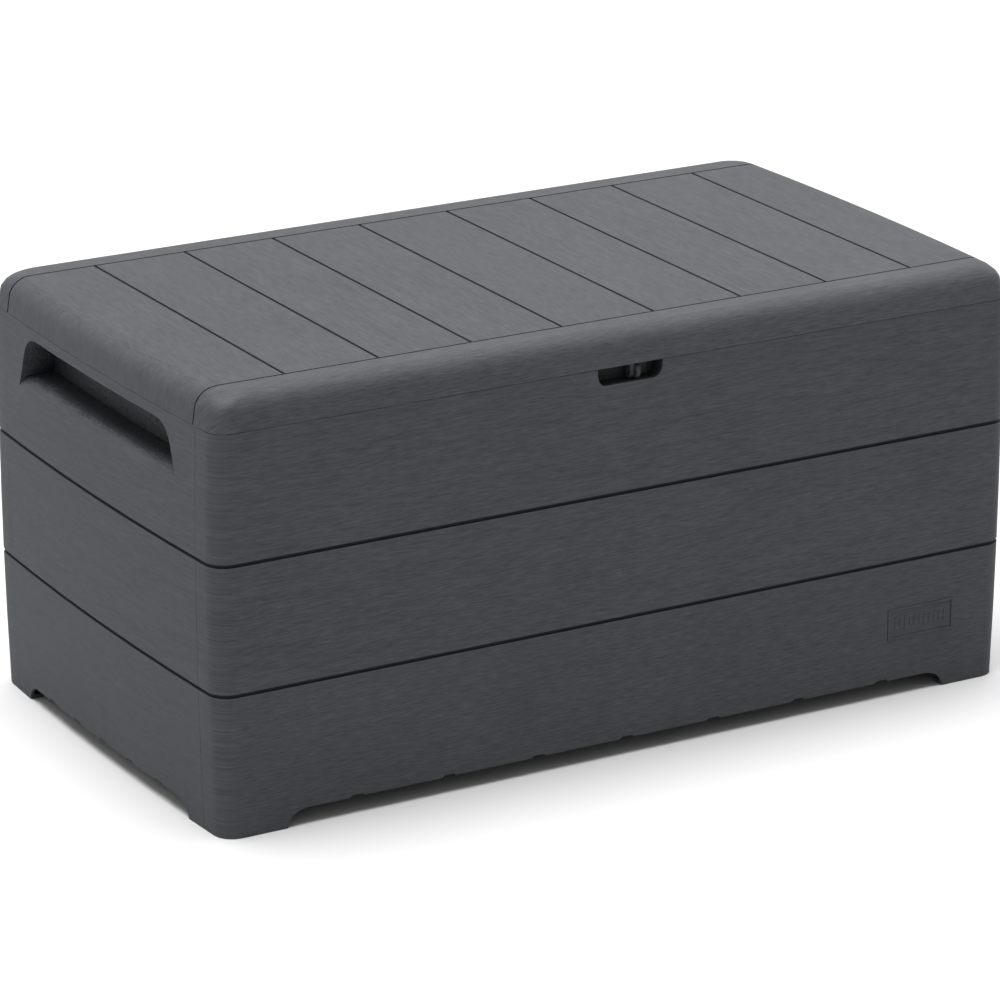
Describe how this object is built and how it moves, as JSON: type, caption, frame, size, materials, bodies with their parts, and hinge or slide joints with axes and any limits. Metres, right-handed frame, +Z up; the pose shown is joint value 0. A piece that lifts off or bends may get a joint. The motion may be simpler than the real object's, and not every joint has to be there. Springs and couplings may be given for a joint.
{
  "type": "deck storage box",
  "caption": "Outdoor deck storage box with plank-pattern walls, hand scoops, corner feet and a rear-hinged lid carried by gas struts.",
  "frame": {"origin": "on the ground, under the middle of the box", "axes": "+X along the length to the right as seen from the front, -Y is the front with the padlock recess, +Z up"},
  "size_m": [1.29, 0.702, 0.619],
  "materials": {
    "panel_plastic": "anthracite resin with fine wood grain",
    "lid_plastic": "anthracite resin with wood grain",
    "inner_plastic": "plain moulded resin",
    "steel": "zinc plated",
    "cylinder_paint": "black painted steel"
  },
  "bodies": {
    "box": {"badge_plate": "panel_plastic", "corner_screw_front_left_lower": "steel", "corner_screw_front_left_upper": "steel", "corner_screw_front_right_lower": "steel", "corner_screw_front_right_upper": "steel", "corner_screw_rear_left_lower": "steel", "corner_screw_rear_left_upper": "steel", "corner_screw_rear_right_lower": "steel", "corner_screw_rear_right_upper": "steel", "floor_panel": "inner_plastic", "front_panel": "panel_plastic", "hinge_pin_left": "steel", "hinge_pin_middle": "steel", "hinge_pin_right": "steel", "left_box_bracket_screw_front": "steel", "left_box_bracket_screw_rear": "steel", "left_side_panel": "panel_plastic", "left_strut_box_bracket": "inner_plastic", "padlock_staple": "inner_plastic", "rear_panel": "panel_plastic", "right_box_bracket_screw_front": "steel", "right_box_bracket_screw_rear": "steel", "right_side_panel": "panel_plastic", "right_strut_box_bracket": "inner_plastic"},
    "lid": {"left_lid_bracket_screw_front": "steel", "left_lid_bracket_screw_rear": "steel", "left_strut_lid_bracket": "inner_plastic", "lid_hasp": "inner_plastic", "lid_liner": "inner_plastic", "lid_shell": "lid_plastic", "liner_screw_1": "steel", "liner_screw_2": "steel", "liner_screw_3": "steel", "liner_screw_4": "steel", "liner_screw_5": "steel", "liner_screw_6": "steel", "right_lid_bracket_screw_front": "steel", "right_lid_bracket_screw_rear": "steel", "right_strut_lid_bracket": "inner_plastic"},
    "left_strut_tube": {"left_strut_foot": "inner_plastic", "left_strut_cylinder": "cylinder_paint"},
    "left_strut_piston": {"left_strut_rod": "steel", "left_strut_eye": "inner_plastic"},
    "right_strut_tube": {"right_strut_foot": "inner_plastic", "right_strut_cylinder": "cylinder_paint"},
    "right_strut_piston": {"right_strut_rod": "steel", "right_strut_eye": "inner_plastic"}
  },
  "joints": [
    {"name": "lid_hinge", "type": "hinge", "parent": "box", "child": "lid", "pos_m": [0, 0.343, 0.57], "axis": [-1, 0, 0], "range_deg": [0, 95]},
    {"name": "left_strut_swing", "type": "hinge", "parent": "box", "child": "left_strut_tube", "pos_m": [-0.568, 0.0425, 0.33], "axis": [-1, 0, 0], "range_deg": [-0.95, 0]},
    {"name": "left_strut_extend", "type": "slide", "parent": "left_strut_tube", "child": "left_strut_piston", "axis": [0, 0.662, 0.7495], "range_m": [0, 0.1507]},
    {"name": "right_strut_swing", "type": "hinge", "parent": "box", "child": "right_strut_tube", "pos_m": [0.568, 0.0425, 0.33], "axis": [-1, 0, 0], "range_deg": [-0.95, 0]},
    {"name": "right_strut_extend", "type": "slide", "parent": "right_strut_tube", "child": "right_strut_piston", "axis": [0, 0.662, 0.7495], "range_m": [0, 0.1507]}
  ],
  "couplings": [
    {"joint": "left_strut_swing", "follows": "lid_hinge", "ratio": -0.004713},
    {"joint": "left_strut_extend", "follows": "lid_hinge", "m_per_rad": 0.089664},
    {"joint": "right_strut_swing", "follows": "lid_hinge", "ratio": -0.004713},
    {"joint": "right_strut_extend", "follows": "lid_hinge", "m_per_rad": 0.089664}
  ]
}
